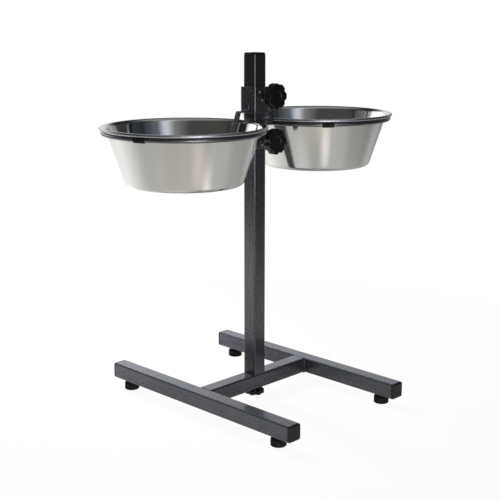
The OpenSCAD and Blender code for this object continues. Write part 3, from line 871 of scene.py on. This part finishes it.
def white_paper():
    """The floor: paper that keeps the stand's shadow, is white to the camera and has pools of light in
    the steel."""
    material = bpy.data.materials.new("white_paper")
    start = bare_nodes(material)
    camera_ray = start.node("LightPath")
    off_camera = 1 - camera_ray
    glossy_ray = camera_ray.twin("Is Glossy Ray") + camera_ray.twin("Is Transmission Ray")
    place = start.node("TexCoord", out="Object")

    def pool(x, y, inner, outer):
        """1 in a round pool of light about a spot on the paper, fading out between two radii."""
        return 1 - place.vector("DISTANCE", (x, y, 0), out="Value").rise(inner, outer)

    seen = 1.0 - pool(0, 0, 0.4, 0.9) * 0.04
    # Pools of light in the steel, as place, radii and brightness; the one with a brightness below 0 is a
    # painted shade on the paper under the stand
    around = [(-0.1, 0.1, 0.4, 2.4, 0.42), (0, 0, 0.1, 0.35, -0.26), (-0.75, 0.25, 0.2, 0.7, 0.17)]
    before = [(-0.55, -0.3, 0.1, 0.5, 0.10), (-0.30, -0.49, 0.0, 0.17, 0.37), (-0.13, -0.45, 0.0, 0.13, 0.77)]
    before += [(0.05, -0.55, 0.1, 0.4, 0.25), (-0.45, -0.42, 0.05, 0.3, 0.12), (-0.55, -0.95, 0.1, 0.45, 3.0)]
    under = [(-0.25, -0.06, 0.05, 0.22, 0.30), (0.0, -0.1, 0.03, 0.15, 0.20)]
    right = [(0.5, -0.38, 0.1, 0.4, 0.06), (1.4, 0.0, 0.2, 0.8, 0.35)]
    behind = [(-0.1, 1.3, 0.3, 1.3, 1.0), (-0.9, 0.9, 0.2, 0.7, 0.20)]
    behind += [(1.2, 2.3, 0.5, 1.3, 0.9), (2.7, 1.5, 0.7, 1.5, 0.9)]
    lit = 0.10
    for x, y, inner, outer, bright in around + before + under + right + behind:
        lit = lit + pool(x, y, inner, outer) * bright
    level = camera_ray + off_camera * lit
    cast = (pool(-0.58, -0.28, 0.1, 0.35) * off_camera).tint(grey(1.0), (1.01, 1.0, 0.9, 1))
    cast = (pool(-0.25, -0.48, 0.08, 0.2) * off_camera).tint(cast, (1.07, 1.0, 0.955, 1))
    paper = start.node("BsdfDiffuse", None, {"Color": grey(0.86)})
    glow = start.node("Emission", None, {"Color": level.dyed(cast), "Strength": 1.0})
    share = camera_ray * seen + glossy_ray * 0.85
    mixed = start.node("MixShader", None, {0: share, 1: paper, 2: glow})
    start.node("OutputMaterial", None, {"Surface": mixed})
    return material


def studio_air():
    """White to the camera; in the steel a dim room with a white backdrop and a few soft lights."""
    scene.world = bpy.data.worlds.new("studio_air")
    start = bare_nodes(scene.world)
    camera_ray = start.node("LightPath")
    glossy_ray = camera_ray.twin("Is Glossy Ray") + camera_ray.twin("Is Transmission Ray")
    glossy_ray = start.math("MINIMUM", glossy_ray, 1.0)
    aim = start.node("TexCoord", out="Generated")
    up = aim.node("SeparateXYZ", None, {0: aim}).twin(2)

    def towards(azimuth, elevation=0):
        """1 straight towards a direction, in degrees from +X to +Y and up from level, and 0 across it."""
        a, e = radians(azimuth), radians(elevation)
        return aim.vector("DOT_PRODUCT", (cos(a) * cos(e), sin(a) * cos(e), sin(e)), out="Value")

    def patch(azimuth, elevation, inner, outer):
        """1 in a round patch of the room about that direction, fading out between two angles."""
        return towards(azimuth, elevation).rise(cos(radians(outer)), cos(radians(inner)))

    def strip(azimuth, inner, outer, low, high):
        """1 in an upright strip of the room, fading out to its sides and ends."""
        aside = start.math("ABSOLUTE", towards(azimuth + 90))
        facing = towards(azimuth).rise(0.0, 0.2) * up.rise(low - 0.1, low) * (1 - up.rise(high, high + 0.15))
        return (1 - aside.rise(sin(radians(inner)), sin(radians(outer)))) * facing

    backdrop = patch(66, 5, 20, 66) * (1 - up.rise(0.28, 0.50))
    room = 0.03 + up.rise(0.68, 0.92) * 0.30 + backdrop * 0.74
    # Soft patches of light, as direction, angles and brightness
    behind = [(64, 17, 6, 20, 0.30), (90, 9, 17, 24, 0.9), (124, 20, 5, 15, 0.18), (140, 26, 2, 7, 0.12)]
    right = [(287, 27, 3, 12, 0.07), (330, 12, 8, 40, 0.03), (7, 8, 5, 16, 0.30)]
    left = [(190, 22, 20, 48, 0.055), (225, 9, 4, 11, 0.8)]
    for azimuth, elevation, inner, outer, bright in behind + right + left:
        room = room + patch(azimuth, elevation, inner, outer) * bright
    # A tall window in front with its wider glow, and a thin dark upright behind
    room = room + strip(259, 0, 14, 0.25, 0.75) * 0.60 + strip(254, 5, 34, 0.2, 0.8) * 0.27
    room = room * (1 - strip(119, 0.6, 2.4, 0.15, 0.5) * 0.8)
    dim = 0.05 + backdrop * 0.3
    level = glossy_ray * room + (1 - glossy_ray) * dim
    cast = patch(285, 15, 25, 80).tint((0.995, 1.0, 1.03, 1), (0.83, 0.96, 1.20, 1))
    cast = patch(200, 30, 25, 60).tint(cast, (1.0, 1.0, 0.98, 1))
    cast = up.rise(0.45, 0.7).tint(cast, (0.96, 1.0, 1.06, 1))
    sky = camera_ray.tint(level.dyed(cast), grey(1.0))
    glow = start.node("Background", None, {"Color": sky, "Strength": 1.0})
    start.node("OutputWorld", None, {"Surface": glow})


def softbox(name, place, aim, wide, tall, power, spread):
    """A lamp that lights the stand but shows neither to the camera nor in the steel."""
    lamp = bpy.data.lights.new(name, "AREA")
    lamp.shape, lamp.size, lamp.size_y = "RECTANGLE", wide, tall
    lamp.energy, lamp.spread = power, radians(spread)
    box = bpy.data.objects.new(name, lamp)
    box.location = place
    box.rotation_euler = (Vector(aim) - Vector(place)).to_track_quat("-Z", "Y").to_euler()
    box.visible_camera = box.visible_glossy = False
    scene.collection.objects.link(box)


def glow_card(name, place, aim, wide, tall, level):
    """A bright upright card that only shows as a highlight in the stand."""
    material = bpy.data.materials.new(name)
    start = bare_nodes(material)
    across = start.node("SeparateXYZ", None, {0: start.node("TexCoord", out="Object")})
    aside = start.math("ABSOLUTE", across) / (wide / 2)
    edge = 1 - aside.rise(0.3, 1.0)
    glow = start.node("Emission", None, {"Color": edge * level, "Strength": 1.0})
    start.node("OutputMaterial", None, {"Surface": glow})
    card = flat_panel(name, wide, tall, material)
    card.location = place
    card.rotation_euler = (Vector(aim) - Vector(place)).to_track_quat("Z", "Y").to_euler()
    card.visible_camera = card.visible_diffuse = card.visible_shadow = False


flat_panel("floor", 60, 60, white_paper())
studio_air()
softbox("rear_softbox", (0.1, 0.9, 0.95), (-0.1, 0.1, 0), wide=0.3, tall=0.5, power=7, spread=90)
glow_card("front_card", (-1.0, -1.73, 0.3), (0, 0, 0.3), wide=1.2, tall=0.6, level=9)

# Camera at the photo's place
camera = bpy.data.objects.new("camera", bpy.data.cameras.new("camera"))
camera.data.lens, camera.data.sensor_width = 75.1, 36
camera.data.clip_start, camera.data.clip_end = 0.05, 200
camera.location = (-1.16996, -1.14465, 0.6214)
heading, dip = radians(45.37), radians(12.89)
ahead = Vector((sin(heading) * cos(dip), cos(heading) * cos(dip), -sin(dip)))
camera.rotation_euler = ahead.to_track_quat("-Z", "Y").to_euler()
scene.collection.objects.link(camera)
scene.camera = camera
scene.view_settings.view_transform = "Standard"
